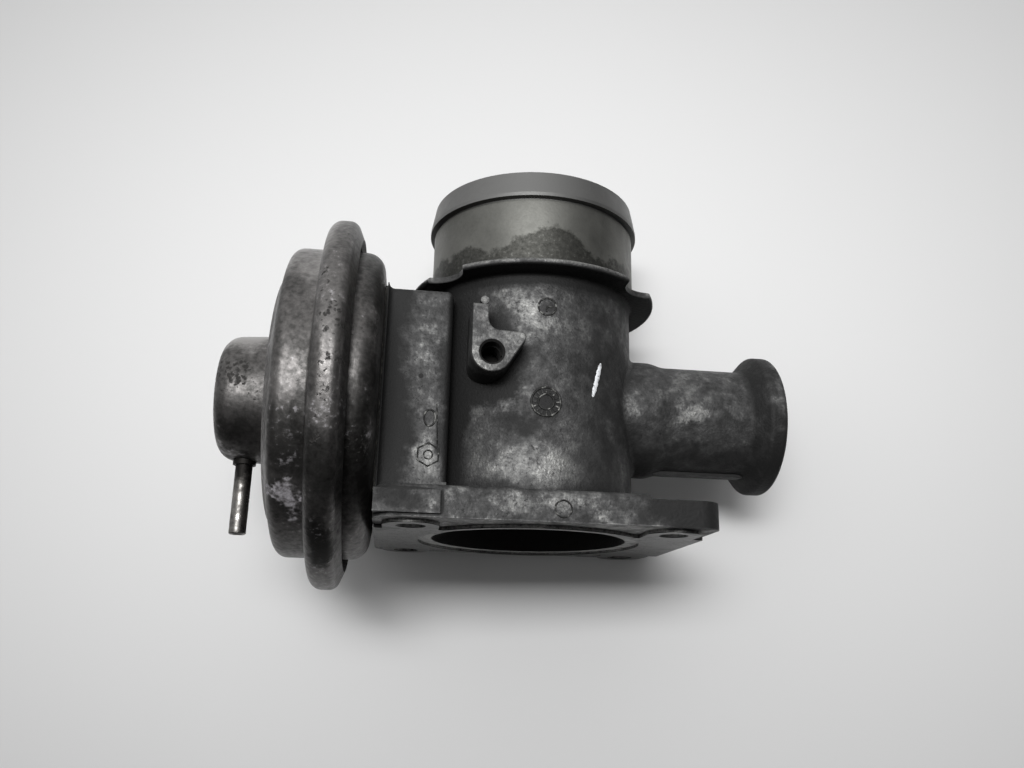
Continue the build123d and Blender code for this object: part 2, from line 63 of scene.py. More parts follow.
LIP_Z = 0.0801
PIPE_BORE_X = 0.0245               # the inlet pipe's bore begins


def linear(code):
    """sRGB hex to linear RGBA."""
    parts = [int(code[i:i + 2], 16) / 255 for i in (1, 3, 5)]
    return [p / 12.92 if p <= 0.04045 else ((p + 0.055) / 1.055) ** 2.4 for p in parts] + [1.0]


def add(tree, kind, inputs=None, **settings):
    """Add a node: settings are its properties; inputs hold values, or nodes and sockets to link."""
    made = tree.nodes.new(kind)
    for name, value in settings.items():
        setattr(made, name, value)
    for socket, value in (inputs or {}).items():
        if isinstance(value, bpy.types.Node):
            value = next(output for output in value.outputs if output.enabled)
        if isinstance(value, bpy.types.NodeSocket):
            tree.links.new(value, made.inputs[socket])
        else:
            made.inputs[socket].default_value = value
    return made


def new_material(name, *wearers):
    """Put an empty material on its CAD nodes, and give its tree and the object coordinates there."""
    made = bpy.data.materials.new(name)
    made.use_nodes = True
    tree = made.node_tree
    tree.nodes.clear()
    for wearer in wearers:
        nodes[wearer].material_slots[0].material = made
    return tree, add(tree, "ShaderNodeTexCoord").outputs["Object"]


def end_material(tree, look, relief=None, strength=0.0, depth=0.0):
    """Close a material with its shader; a relief has a strength, and a depth in metres."""
    if relief is not None:
        bump = add(tree, "ShaderNodeBump", {"Height": relief, "Strength": strength, "Distance": depth})
        look = {**look, "Normal": bump}
    surface = add(tree, "ShaderNodeBsdfPrincipled", look)
    add(tree, "ShaderNodeOutputMaterial", {"Surface": surface})


def set_ramp(node, stops):
    """Give a colour ramp its (position, hex colour) stops."""
    ramp = node.color_ramp
    for element, (position, code) in zip(ramp.elements, (stops[0], stops[-1])):
        element.position = position
        element.color = linear(code)
    for position, code in stops[1:-1]:
        ramp.elements.new(position).color = linear(code)


def distance(tree, where, centre, scale):
    """How far a place is from a centre, with each axis scaled; a scale of 0 leaves that axis out."""
    gap = add(tree, "ShaderNodeVectorMath", {0: where, 1: centre}, operation="SUBTRACT")
    gap = add(tree, "ShaderNodeVectorMath", {0: gap, 1: scale}, operation="MULTIPLY")
    return add(tree, "ShaderNodeVectorMath", {0: gap}, operation="LENGTH")


def shaken(tree, where, noise, reach):
    """A place moved by a colour noise, so that what is drawn there gets ragged edges."""
    shift = add(tree, "ShaderNodeVectorMath", {0: noise.outputs["Color"], 1: (0.5, 0.5, 0.5)},
                operation="SUBTRACT")
    shift = add(tree, "ShaderNodeVectorMath", {0: shift, 1: (reach, reach, reach)}, operation="MULTIPLY")
    return add(tree, "ShaderNodeVectorMath", {0: shift, 1: where}, operation="ADD")


def add_spots(tree, tone, where, spots):
    """Lighten or darken a tone in soft ellipsoids: centre and half sizes in millimetres, amount."""
    for centre, half, amount in spots:
        gap = distance(tree, where, [c / 1000 for c in centre], [1000 / h for h in half])
        spot = add(tree, "ShaderNodeMapRange", {"Value": gap, "From Min": 1.0, "From Max": 0.45,
                   "To Min": 0.0, "To Max": amount}, interpolation_type="SMOOTHSTEP")
        tone = add(tree, "ShaderNodeMath", {0: tone, 1: spot}, operation="ADD")
    return tone


# what this gives the eye: a grainy grey skin under a soot-black film, broken by pale speckled metal, with
# painted shade in recesses and under the collar and the lug, and a painted highlight on the collar's edge
tree, place = new_material("soot_filmed_cast_aluminium", "valve_housing")
x, y, z = add(tree, "ShaderNodeSeparateXYZ", {0: place}).outputs
duct_radius = distance(tree, place, (0, 0, 0), (1, 1, 0))
stem_radius = distance(tree, place, (0, 0, STEM_Z), (0, 1, 1))

# the soot film breaks up from 11 mm clouds down to 0.2 mm specks; grains of the sand skin are 0.6 mm
film = add(tree, "ShaderNodeTexNoise", {"Vector": place, "Scale": 90.0, "Detail": 6.0, "Roughness": 0.68})
mottle = add(tree, "ShaderNodeTexNoise", {"Vector": place, "Scale": 380.0, "Detail": 4.0,
             "Roughness": 0.7})
speck = add(tree, "ShaderNodeTexNoise", {"Vector": place, "Scale": 1000.0, "Detail": 4.0,
            "Roughness": 0.75})
grain = add(tree, "ShaderNodeTexNoise", {"Vector": place, "Scale": 1700.0, "Detail": 2.0,
            "Roughness": 0.5})
long = add(tree, "ShaderNodeMapping", {"Vector": place, "Scale": (1400.0, 1400.0, 190.0)})
streak = add(tree, "ShaderNodeTexNoise", {"Vector": long, "Scale": 1.0, "Detail": 3.0})
wide = add(tree, "ShaderNodeMapping", {"Vector": place, "Scale": (260.0, 260.0, 2400.0)})
stroke = add(tree, "ShaderNodeTexNoise", {"Vector": wide, "Scale": 1.0, "Detail": 3.0})
ragged = shaken(tree, place, film, 0.016)
neck_side = add(tree, "ShaderNodeMapRange", {"Value": x, "From Min": NECK_END_X,
                "From Max": NECK_END_X - 0.0001, "To Max": 0.75})
cover = add(tree, "ShaderNodeMix", {"Factor": neck_side, "A": film, "B": 0.5}, data_type="FLOAT")
tone = add(tree, "ShaderNodeMath", {0: cover, 1: 1.15, 2: -0.225}, operation="MULTIPLY_ADD")
# the duct's foot is rubbed more evenly than the rest
foot = add(tree, "ShaderNodeMapRange", {"Value": z, "From Min": 0.025, "From Max": 0.015})
above_flange = add(tree, "ShaderNodeMath", {0: z, 1: FLANGE_TOP_Z}, operation="GREATER_THAN")
foot = add(tree, "ShaderNodeMath", {0: foot, 1: above_flange}, operation="MULTIPLY")
patchy = add(tree, "ShaderNodeMath", {0: foot, 1: -0.45, 2: 0.9}, operation="MULTIPLY_ADD")
blotch = add(tree, "ShaderNodeMath", {0: mottle, 1: 0.5}, operation="SUBTRACT")
tone = add(tree, "ShaderNodeMath", {0: blotch, 1: patchy, 2: tone}, operation="MULTIPLY_ADD")

# rubbed, washed and sooted places, with ragged edges; some are painted shade: the recess beside the neck,
# under the lug and where the neck meets the dish
tone = add_spots(tree, tone, ragged, [
    ((-4, -25, 55), (12, 9, 4), 0.19),         # duct, under the collar
    ((1, -25, 51), (12, 9, 4.5), 0.14),
    ((-6, -25, 30), (5, 6, 4.5), 0.15),        # duct, beside the date dial
    ((-7, -25, 36), (4, 6, 3), 0.08),
    ((-2, -25, 14), (15, 8, 7.5), 0.28),       # duct, above the flange
    ((3, -25, 19), (6, 6, 4), 0.06),
    ((-12, -22, 15), (4, 6, 6), 0.06),
    ((-7, -24, 24), (7, 6, 3.5), -0.20),
    ((-18, -18, 50), (6, 8, 12), -0.22),       # duct, towards the neck
    ((17, -20, 34), (9, 14, 30), -0.18),       # duct, towards the inlet
    # painted shade in the recess between duct and neck
    ((-20.5, -17, 34), (5.5, 8, 30), -0.42),   # recess between duct and neck
    # painted shadow under the lug, over some grime
    ((-13.5, -22.5, 33), (8, 7, 5), -0.80),    # under the lug
    ((-26, -19.5, 46), (5.5, 4, 14), 0.03),    # neck
    ((-26, -19.5, 28), (6, 4, 26), 0.06),
    ((-27, -19.5, 12), (9, 4, 12), 0.20),
    # painted shade, with some grime, where the neck meets the dish
    ((-38, -19.5, 33), (8.5, 9, 60), -0.46),
    ((-31.8, -34.4, 4), (8, 3, 4.5), -0.26),   # flange edge
    ((-19, -34.4, 5), (6, 3, 3), 0.25),
    ((-9, -34.4, 5), (6, 3, 3), 0.25),
    ((5, -34.4, 5), (9, 3, 3), 0.14),
    ((12, -34.4, 2), (4, 3, 1.5), 0.20),
    ((32, -34.4, 4), (15, 6, 7), -0.70),
    ((39, -13, 31.5), (6, 5, 4), 0.32),        # inlet pipe
    ((47.5, -13, 33.5), (4, 4, 3.5), 0.22),
    ((31, -12, 28), (5, 5, 4), 0.06),
    ((40, -4, 20), (22, 14, 6), -0.28),
    ((58, 0, 32.7), (6.8, 24, 24), -0.80),     # clamp flange
])
# dark lines along the top and right edge of the pad on the flange edge, grime round the date dial and at
# the ejector mark, and a dark dot on the neck
tone = add_spots(tree, tone, place, [
    ((-23.2, -35.0, 4.2), (0.6, 2, 3.6), -0.50),
    ((-31, -35.0, 6.6), (8, 2, 0.55), -0.40),
    ((0, -25.5, 29.3), (4.3, 3, 4.3), -0.52),
    ((0, -25.5, 52.5), (2.8, 3, 2.8), -0.24),
    ((-28.6, -19.5, 35.5), (0.7, 1, 0.7), -0.6),
])

# the tip of the lug is rubbed; a painted highlight runs along the collar's top edge, and painted shade
# lies under the collar
lug_face = add(tree, "ShaderNodeMapRange", {"Value": y, "From Min": LUG_FACE_Y + 0.0004,
               "From Max": LUG_FACE_Y, "To Max": 0.20})
lug_level = add(tree, "ShaderNodeMapRange", {"Value": z, "From Min": 0.030, "From Max": 0.031})
lug_face = add(tree, "ShaderNodeMath", {0: lug_face, 1: lug_level}, operation="MULTIPLY")
tone = add(tree, "ShaderNodeMath", {0: tone, 1: lug_face}, operation="ADD")
# painted highlight: a bright band on the collar's top edge, a little darker just below it
rim = add(tree, "ShaderNodeMapRange", {"Value": duct_radius, "From Min": 0.0302, "From Max": 0.0310})
above = add(tree, "ShaderNodeMapRange", {"Value": z, "From Min": COLLAR_TOP_Z - 0.0008,
            "From Max": COLLAR_TOP_Z, "To Min": -0.10, "To Max": 0.34})
rim = add(tree, "ShaderNodeMath", {0: rim, 1: above}, operation="MULTIPLY")
at_collar = add(tree, "ShaderNodeMath", {0: z, 1: 0.0615, 2: 0.0020}, operation="COMPARE")
rim = add(tree, "ShaderNodeMath", {0: rim, 1: at_collar}, operation="MULTIPLY")
tone = add(tree, "ShaderNodeMath", {0: tone, 1: rim}, operation="ADD")
# painted shade: the collar's underside and the duct just below it are darkened
under = add(tree, "ShaderNodeMapRange", {"Value": z, "From Min": 0.0578, "From Max": 0.0598,
            "To Min": 0.0, "To Max": -0.75}, interpolation_type="SMOOTHSTEP")
below = add(tree, "ShaderNodeMath", {0: z, 1: 0.0610}, operation="LESS_THAN")
tone = add(tree, "ShaderNodeMath", {0: under, 1: below, 2: tone}, operation="MULTIPLY_ADD")

# corners and crevices darken by their occlusion: grime that no hand reaches, and painted shade
corner = add(tree, "ShaderNodeAmbientOcclusion", {"Distance": 0.007}, samples=8, only_local=True)
crevice_dirt_and_shade = add(tree, "ShaderNodeMapRange", {"Value": corner.outputs["AO"], "From Min": 0.92, "From Max": 0.42,
           "To Min": 0.0, "To Max": -0.60})
kept = add(tree, "ShaderNodeMapRange", {"Value": z, "From Min": 0.0010, "From Max": 0.0016,
           "To Min": 0.15, "To Max": 1.0})
tone = add(tree, "ShaderNodeMath", {0: crevice_dirt_and_shade, 1: kept, 2: tone}, operation="MULTIPLY_ADD")
# painted light: the shaded wall of the step under the flange's plate is lightened
painted_step_light = add(tree, "ShaderNodeMapRange", {"Value": z, "From Min": 0.00100, "From Max": 0.00060,
            "To Max": 0.50})
tone = add(tree, "ShaderNodeMath", {0: tone, 1: painted_step_light}, operation="ADD")

# bare metal shows specks of 1 mm and less; streaks run down the neck and rub marks round the duct
bare = add(tree, "ShaderNodeMapRange", {"Value": tone, "From Min": 0.30, "From Max": 0.70})
marks = add(tree, "ShaderNodeMix", {"Factor": neck_side, "A": stroke, "B": streak}, data_type="FLOAT")
marks = add(tree, "ShaderNodeMath", {0: marks, 1: 0.5}, operation="SUBTRACT")
low = add(tree, "ShaderNodeMapRange", {"Value": z, "From Min": 0.026, "From Max": 0.016, "To Min": 0.1,
          "To Max": 0.4})
low = add(tree, "ShaderNodeMath", {0: low, 1: neck_side}, operation="MAXIMUM")
marks = add(tree, "ShaderNodeMath", {0: marks, 1: low}, operation="MULTIPLY")
specks = add(tree, "ShaderNodeMath", {0: speck, 1: 1.15, 2: -0.575}, operation="MULTIPLY_ADD")
specks = add(tree, "ShaderNodeMath", {0: marks, 1: 1.35, 2: specks}, operation="MULTIPLY_ADD")
even = add(tree, "ShaderNodeMath", {0: foot, 1: -0.4, 2: 1.0}, operation="MULTIPLY_ADD")
specks = add(tree, "ShaderNodeMath", {0: specks, 1: even}, operation="MULTIPLY")
specks = add(tree, "ShaderNodeMath", {0: specks, 1: bare, 2: tone}, operation="MULTIPLY_ADD")
# soot stays in the deepest pores of the skin, 0.3 to 0.6 mm wide
pores = add(tree, "ShaderNodeMapRange", {"Value": speck, "From Min": 0.40, "From Max": 0.34,
            "To Min": 0.0, "To Max": -0.20})
specks = add(tree, "ShaderNodeMath", {0: specks, 1: pores}, operation="ADD")
skin = add(tree, "ShaderNodeValToRGB", {"Fac": specks})
set_ramp(skin, [(0.00, "#161616"), (0.22, "#2b2b2b"), (0.42, "#474747"), (0.62, "#6b6b6a"),
                (0.82, "#828280"), (1.0, "#8f8f8d")])

# the turned spigot is smooth and olive-grey; grime has crept up from the collar in a ragged peak
spigot = add(tree, "ShaderNodeMapRange", {"Value": z, "From Min": COLLAR_TOP_Z + 0.0004,
             "From Max": COLLAR_TOP_Z + 0.0007})
lip = add(tree, "ShaderNodeMapRange", {"Value": z, "From Min": LIP_Z, "From Max": LIP_Z + 0.0003})
peak = add(tree, "ShaderNodeMath", {0: x, 1: 0.0005}, operation="ADD")
peak = add(tree, "ShaderNodeMath", {0: peak}, operation="ABSOLUTE")
peak = add(tree, "ShaderNodeMapRange", {"Value": peak, "From Min": 0.0120, "From Max": 0.003,
           "To Min": 0.0, "To Max": 0.0062})
front = add(tree, "ShaderNodeMath", {0: y, 1: 0.0}, operation="LESS_THAN")
peak = add(tree, "ShaderNodeMath", {0: peak, 1: front}, operation="MULTIPLY")
left = add(tree, "ShaderNodeMapRange", {"Value": x, "From Min": -0.008, "From Max": -0.022, "To Min": 0.0,
           "To Max": 0.0028})
level = add(tree, "ShaderNodeMath", {0: peak, 1: left}, operation="ADD")
level = add(tree, "ShaderNodeMath", {0: level, 1: z}, operation="SUBTRACT")
level = add(tree, "ShaderNodeMath", {0: film, 1: 0.015, 2: level}, operation="MULTIPLY_ADD")
grime = add(tree, "ShaderNodeMapRange", {"Value": level, "From Min": -0.0598, "From Max": -0.0586,
            "To Min": 0.0, "To Max": 0.8})
smears = add(tree, "ShaderNodeTexNoise", {"Vector": place, "Scale": 60.0, "Detail": 3.0,
             "Roughness": 0.45})
turned_tone = add(tree, "ShaderNodeMath", {0: speck, 1: 0.25, 2: smears}, operation="MULTIPLY_ADD")
turned_skin = add(tree, "ShaderNodeValToRGB", {"Fac": turned_tone})
set_ramp(turned_skin, [(0.35, "#575754"), (0.85, "#787874")])
grime_skin = add(tree, "ShaderNodeValToRGB", {"Fac": speck})
set_ramp(grime_skin, [(0.35, "#21211f"), (0.60, "#3f3f3c"), (0.72, "#6e6e6b")])
turned_skin = add(tree, "ShaderNodeMix", {"Factor": grime, "A": turned_skin, "B": grime_skin},
                  data_type="RGBA")
colour = add(tree, "ShaderNodeMix", {"Factor": spigot, "A": skin, "B": turned_skin}, data_type="RGBA")
colour = add(tree, "ShaderNodeMix", {"Factor": lip, "A": colour, "B": linear("#70706f")},
             data_type="RGBA")

# the milled mounting face, with cutter lines 0.4 mm apart: a wave of scale s repeats every
# 2 pi / (20 s) metres
milled = add(tree, "ShaderNodeMapRange", {"Value": z, "From Min": 0.00022, "From Max": 0.00012})
cutter = add(tree, "ShaderNodeTexWave", {"Vector": place, "Scale": 800.0, "Distortion": 1.5,
             "Detail": 1.0})
face_tone = add(tree, "ShaderNodeMath", {0: cutter.outputs["Fac"], 1: 0.25, 2: film},
                operation="MULTIPLY_ADD")
face_skin = add(tree, "ShaderNodeValToRGB", {"Fac": face_tone})
set_ramp(face_skin, [(0.40, "#282827"), (0.80, "#414140")])
colour = add(tree, "ShaderNodeMix", {"Factor": milled, "A": colour, "B": face_skin}, data_type="RGBA")

# soot in the air duct and the exhaust pipe, and shade in the lug's hole
duct_soot = add(tree, "ShaderNodeMapRange", {"Value": duct_radius, "From Min": 0.0239,
                "From Max": 0.0236})
pipe_soot = add(tree, "ShaderNodeMapRange", {"Value": stem_radius, "From Min": 0.0124,
                "From Max": 0.0119})
beyond_duct = add(tree, "ShaderNodeMapRange", {"Value": x, "From Min": PIPE_BORE_X,
                  "From Max": PIPE_BORE_X + 0.0005})
pipe_soot = add(tree, "ShaderNodeMath", {0: pipe_soot, 1: beyond_duct}, operation="MULTIPLY")
soot = add(tree, "ShaderNodeMath", {0: duct_soot, 1: pipe_soot}, operation="MAXIMUM")
lug_hole = distance(tree, place, (LUG_X, 0.0, LUG_Z), (1, 0, 1))
lug_hole = add(tree, "ShaderNodeMapRange", {"Value": lug_hole, "From Min": 0.0031, "From Max": 0.0029})
lug_depth = add(tree, "ShaderNodeMath", {0: y, 1: LUG_HOLE_END_Y}, operation="LESS_THAN")
lug_hole = add(tree, "ShaderNodeMath", {0: lug_hole, 1: lug_depth}, operation="MULTIPLY")
soot = add(tree, "ShaderNodeMath", {0: soot, 1: lug_hole}, operation="MAXIMUM")
colour = add(tree, "ShaderNodeMix", {"Factor": soot, "A": colour, "B": linear("#0a0908")},
             data_type="RGBA")

machined = add(tree, "ShaderNodeMath", {0: spigot, 1: milled}, operation="MAXIMUM")
rough = add(tree, "ShaderNodeMapRange", {"Value": specks, "From Min": 0.1, "From Max": 0.9,
            "To Min": 0.70, "To Max": 0.46})
rough = add(tree, "ShaderNodeMath", {0: machined, 1: -0.14, 2: rough}, operation="MULTIPLY_ADD")
rough = add(tree, "ShaderNodeMath", {0: rough, 1: soot}, operation="MAXIMUM")
metal = add(tree, "ShaderNodeMapRange", {"Value": specks, "From Min": 0.1, "From Max": 0.8,
            "To Min": 0.25, "To Max": 0.85})
metal = add(tree, "ShaderNodeMath", {0: metal, 1: machined}, operation="MAXIMUM")
clean = add(tree, "ShaderNodeMath", {0: 1.0, 1: soot}, operation="SUBTRACT")
metal = add(tree, "ShaderNodeMath", {0: metal, 1: clean}, operation="MULTIPLY")
as_cast = add(tree, "ShaderNodeMapRange", {"Value": machined, "To Min": 1.0, "To Max": 0.12})
relief = add(tree, "ShaderNodeMath", {0: speck, 1: 0.7, 2: grain}, operation="MULTIPLY_ADD")
relief = add(tree, "ShaderNodeMath", {0: relief, 1: as_cast}, operation="MULTIPLY")
end_material(tree, {"Base Color": colour, "Metallic": metal, "Roughness": rough}, relief, 0.55, 0.00025)

# ---------------------------------------------------------------- cast-in marks
# Raised lines that inserts in the casting die leave on the housing: a date dial with plain ticks,
# an ejector ring, a hexagon and an oval. They are 0.25 mm proud, hold soot, and carry no characters.
DUCT_RADIUS = 0.0255
NECK_FRONT = -0.0195
FLANGE_FRONT = -0.0344
DIAL_Z = 0.0293          # centres of the dial and the ejector ring on the front of the duct
EJECTOR_Z = 0.0525
NECK_MARKS_X = -0.0261

# what this gives the eye: fine dark outlines with a few rubbed grey spots on their crests
tree, place = new_material("soot_lined_cast_aluminium")
rub = add(tree, "ShaderNodeTexNoise", {"Vector": place, "Scale": 900.0, "Detail": 3.0})
skin = add(tree, "ShaderNodeValToRGB", {"Fac": rub})
set_ramp(skin, [(0.40, "#161615"), (0.55, "#2b2b2a"), (0.66, "#7d7d7a")])
end_material(tree, {"Base Color": skin, "Metallic": 0.4, "Roughness": 0.6}, rub, 0.3, 0.0002)


def on_duct(across, up, out):
    """A point on the duct's wall: across runs round it from the front, in metres."""
    angle = across / DUCT_RADIUS
    radius = DUCT_RADIUS + out
    return Vector((radius * math.sin(angle), -radius * math.cos(angle), up))


def on_neck(across, up, out):
    return Vector((across, NECK_FRONT - out, up))


def on_flange(across, up, out):
    return Vector((across, FLANGE_FRONT - out, up))


def join_rows(form, rows, closed):
    """Join rows of corners, each a closed outline, with quads; an open run gets end faces."""
    for this, following in zip(rows, rows[1:] + rows[:1] if closed else rows[1:]):
        for k in range(len(this)):
            j = (k + 1) % len(this)
            form.faces.new((this[k], this[j], following[j], following[k]))
    if not closed:
        form.faces.new(rows[0][::-1])
        form.faces.new(rows[-1])


def raised_line(form, path, width, wall, closed=True, height=0.00025):
    """Add a trapezoid ridge along a path of (across, up) points to a bmesh."""
    count = len(path)
    rows = []
    for i, (a, b) in enumerate(path):
        before = path[i - 1] if closed or i > 0 else path[i]
        after = path[(i + 1) % count] if closed or i < count - 1 else path[i]
        side = Vector((before[1] - after[1], after[0] - before[0])).normalized()
        row = []
        for share, out in ((-0.5, -0.0001), (-0.3, height), (0.3, height), (0.5, -0.0001)):
            row.append(form.verts.new(wall(a + side.x * width * share, b + side.y * width * share, out)))
        rows.append(row)
    join_rows(form, rows, closed)


def loop(centre, radius, sides, stretch=1.0, turn=0.0):
    """Points round a circle, oval or polygon."""
    angles = [turn + 2 * math.pi * i / sides for i in range(sides)]
    return [(centre[0] + radius * math.cos(a), centre[1] + stretch * radius * math.sin(a))
            for a in angles]


def new_object(name, data):
    made = bpy.data.objects.new(name, data)
    bpy.context.scene.collection.objects.link(made)
    return made


def piece_from(form, name, material):
    """Turn a bmesh into an object at the origin with its faces outwards."""
    bmesh.ops.remove_doubles(form, verts=form.verts, dist=1e-7)
    bmesh.ops.recalc_face_normals(form, faces=form.faces)
    mesh = bpy.data.meshes.new(name)
    form.to_mesh(mesh)
    form.free()
    mesh.materials.append(bpy.data.materials[material])
    mesh.shade_smooth()
    return new_object(name, mesh)


def geometry_tree(name, sizes, counts=()):
    """A Geometry Nodes tree with named inputs: counts, sizes in metres and a finish."""
    made = bpy.data.node_groups.new(name, "GeometryNodeTree")
    kinds = [("NodeSocketInt", counts), ("NodeSocketFloat", sizes), ("NodeSocketMaterial", ["Finish"])]
    for kind, labels in kinds:
        for label in labels:
            made.interface.new_socket(label, in_out="INPUT", socket_type=kind)
    made.interface.new_socket("Geometry", in_out="OUTPUT", socket_type="NodeSocketGeometry")
    return made, add(made, "NodeGroupInput").outputs


def end_tree(tree, shape, finish):
    """Close a Geometry Nodes tree: its shape made real, in its finish."""
    real = add(tree, "GeometryNodeRealizeInstances", {"Geometry": shape})
    finished = add(tree, "GeometryNodeSetMaterial", {"Geometry": real, "Material": finish})
    add(tree, "NodeGroupOutput", {"Geometry": finished})


def plain_mesh(tree, name, finish, settings):
    """Run a node tree on an empty mesh and keep what it makes, in a finish."""
    holder = new_object(name, bpy.data.meshes.new(name))
    modifier = holder.modifiers.new(name, "NODES")
    modifier.node_group = tree
    settings = {**settings, "Finish": bpy.data.materials[finish]}
    for socket in tree.interface.items_tree:
        if socket.in_out == "INPUT" and socket.name in settings:
            modifier[socket.identifier] = settings[socket.name]
    solved = holder.evaluated_get(bpy.context.evaluated_depsgraph_get())
    made = bpy.data.meshes.new_from_object(solved)
    holder.modifiers.remove(modifier)
    bpy.data.objects.remove(holder)
    return made


marks = bmesh.new()
raised_line(marks, loop((0.0, DIAL_Z), 0.0034, 40), 0.0006, on_duct)
raised_line(marks, loop((0.0, DIAL_Z), 0.0018, 30), 0.0005, on_duct)
raised_line(marks, loop((0.0, EJECTOR_Z), 0.0021, 32), 0.0005, on_duct)
raised_line(marks, [(-0.0001, 0.0512), (-0.0001, 0.0524), (0.0011, 0.0524)], 0.0004, on_duct,
            closed=False)
raised_line(marks, loop((NECK_MARKS_X, 0.0170), 0.0027, 6, turn=math.pi / 6), 0.0005, on_neck)
raised_line(marks, loop((NECK_MARKS_X, 0.0170), 0.0010, 20), 0.0004, on_neck)
raised_line(marks, loop((NECK_MARKS_X, 0.0256), 0.0013, 28, stretch=1.5), 0.0005, on_neck)
raised_line(marks, [(-0.0246, 0.0290), (-0.0243, 0.0236), (-0.0241, 0.0188)], 0.0003, on_neck,
            closed=False)
raised_line(marks, loop((0.0025, 0.0036), 0.0018, 28), 0.00045, on_flange, height=0.0002)
die_marks = piece_from(marks, "die_marks", "soot_lined_cast_aluminium")
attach(die_marks, "valve_body")

ticks, given = geometry_tree("dial_ticks", ["Radius", "Length", "Width", "Height"], counts=["Count"])
ring = add(ticks, "GeometryNodeMeshCircle", {"Vertices": given["Count"], "Radius": given["Radius"]})
bar_size = add(ticks, "ShaderNodeCombineXYZ", {"X": given["Length"], "Y": given["Width"],
               "Z": given["Height"]})
bar = add(ticks, "GeometryNodeMeshCube", {"Size": bar_size})
outward = add(ticks, "GeometryNodeInputPosition")
facing = add(ticks, "FunctionNodeAlignEulerToVector", {"Vector": outward}, axis="X")
placed = add(ticks, "GeometryNodeInstanceOnPoints", {"Points": ring, "Instance": bar, "Rotation": facing})
end_tree(ticks, placed, given["Finish"])
mesh = plain_mesh(ticks, "dial_ticks", "soot_lined_cast_aluminium", {"Count": 16, "Radius": 0.0026,
                  "Length": 0.0009, "Width": 0.0003, "Height": 0.0004})
for corner in mesh.vertices:
    corner.co = on_duct(corner.co.x, DIAL_Z + corner.co.y, corner.co.z)
dial_ticks = new_object("dial_ticks", mesh)
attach(dial_ticks, "valve_body")

# ---------------------------------------------------------------- bracket thread
# The M6 thread of the lug, with a pitch of 1 mm, for a bracket's bolt. A tap cut it in the casting's
# own metal, and its crests stand inside the hole that the drill made.
THREAD_START_Y = -0.0289

tap, given = geometry_tree("tapped_thread", ["Turns", "Radius", "Depth", "Crest"])
helix = add(tap, "GeometryNodeCurveSpiral", {"Resolution": 32, "Rotations": given["Turns"],
            "Start Radius": given["Radius"], "End Radius": given["Radius"], "Height": given["Depth"]})
crest = add(tap, "GeometryNodeCurvePrimitiveCircle", {"Resolution": 4, "Radius": given["Crest"]})
upright = add(tap, "GeometryNodeSetCurveNormal", {"Curve": helix}, mode="Z_UP")
swept = add(tap, "GeometryNodeCurveToMesh", {"Curve": upright, "Profile Curve": crest, "Fill Caps": True})
end_tree(tap, swept, given["Finish"])
mesh = plain_mesh(tap, "bracket_thread", "soot_filmed_cast_aluminium", {"Turns": 5.0, "Radius": 0.00245,
                  "Depth": 0.0050, "Crest": 0.00028})
mesh.transform(Matrix.Translation((LUG_X, THREAD_START_Y, LUG_Z)) @ Matrix.Rotation(-math.pi / 2, 4, "X"))
bracket_thread = new_object("bracket_thread", mesh)
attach(bracket_thread, "valve_body")

# ---------------------------------------------------------------- paint dab
# One short stroke of white marker paint on the duct, as stores use. It was drawn by hand with a
# felt tip, so it is thin and its edges are broken.
tree, place = new_material("white_marker_paint")
worn = add(tree, "ShaderNodeTexNoise", {"Vector": place, "Scale": 1500.0, "Detail": 3.0})
tint = add(tree, "ShaderNodeValToRGB", {"Fac": worn})
set_ramp(tint, [(0.34, "#8d8e90"), (0.46, "#e9ebee")])
end_material(tree, {"Base Color": tint, "Roughness": 0.45}, worn, 0.3, 0.0002)

stroke = bmesh.new()
rows = []
steps = 44
for i in range(steps + 1):
    t = i / steps
    middle = (0.0118 + 0.0026 * t, 0.0318 + 0.0088 * t)
    waver = 0.12 * math.sin(37 * t) + 0.08 * math.sin(91 * t + 1.3)
    half = 0.00062 * (1.0 - 0.75 * abs(2 * t - 1) ** 5) * (1 + waver)
    rows.append([stroke.verts.new(on_duct(middle[0] + a * half, middle[1] - 0.25 * a * half, out))
                 for a, out in ((-1.0, -0.00003), (-0.8, 0.00006), (0.8, 0.00007), (1.0, -0.00003))])
join_rows(stroke, rows, closed=False)
paint_dab = piece_from(stroke, "paint_dab", "white_marker_paint")
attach(paint_dab, "valve_body")

# ---------------------------------------------------------------- seat, disc, stem and scraper
# Turned from heat-resisting chromium steel. The seat ring is pressed into the inlet, the disc is
# riveted to the stem, and the scraper ring keeps soot out of the guide.
# what this gives the eye: fine turned rings, straw to brown heat tints, and soot on the hot side
tree, place = new_material("heat_tinted_turned_steel", "valve_seat", "valve_disc", "valve_stem",
                           "stem_scraper")
x = add(tree, "ShaderNodeSeparateXYZ", {0: place}).outputs["X"]
from_stem = distance(tree, place, (0, 0, STEM_Z), (0, 1, 1))
# turning feed of 0.15 mm, drawn at 0.3 mm so that it shows
rings = add(tree, "ShaderNodeCombineXYZ", {"X": x, "Y": from_stem})
feed = add(tree, "ShaderNodeTexNoise", {"Vector": rings, "Scale": 3300.0, "Detail": 1.0})
clouds = add(tree, "ShaderNodeTexNoise", {"Vector": place, "Scale": 160.0, "Detail": 5.0,
             "Roughness": 0.65})
heat = add(tree, "ShaderNodeMapRange", {"Value": x, "From Min": -0.030, "From Max": 0.022})
heat = add(tree, "ShaderNodeMath", {0: clouds, 1: 0.5, 2: heat}, operation="MULTIPLY_ADD")
tint = add(tree, "ShaderNodeValToRGB", {"Fac": heat})
set_ramp(tint, [(0.25, "#a5a4a0"), (0.50, "#a08a62"), (0.75, "#6d5142"), (0.95, "#4a4650")])
soot = add(tree, "ShaderNodeMapRange", {"Value": heat, "From Min": 0.80, "From Max": 1.25, "To Max": 0.9})
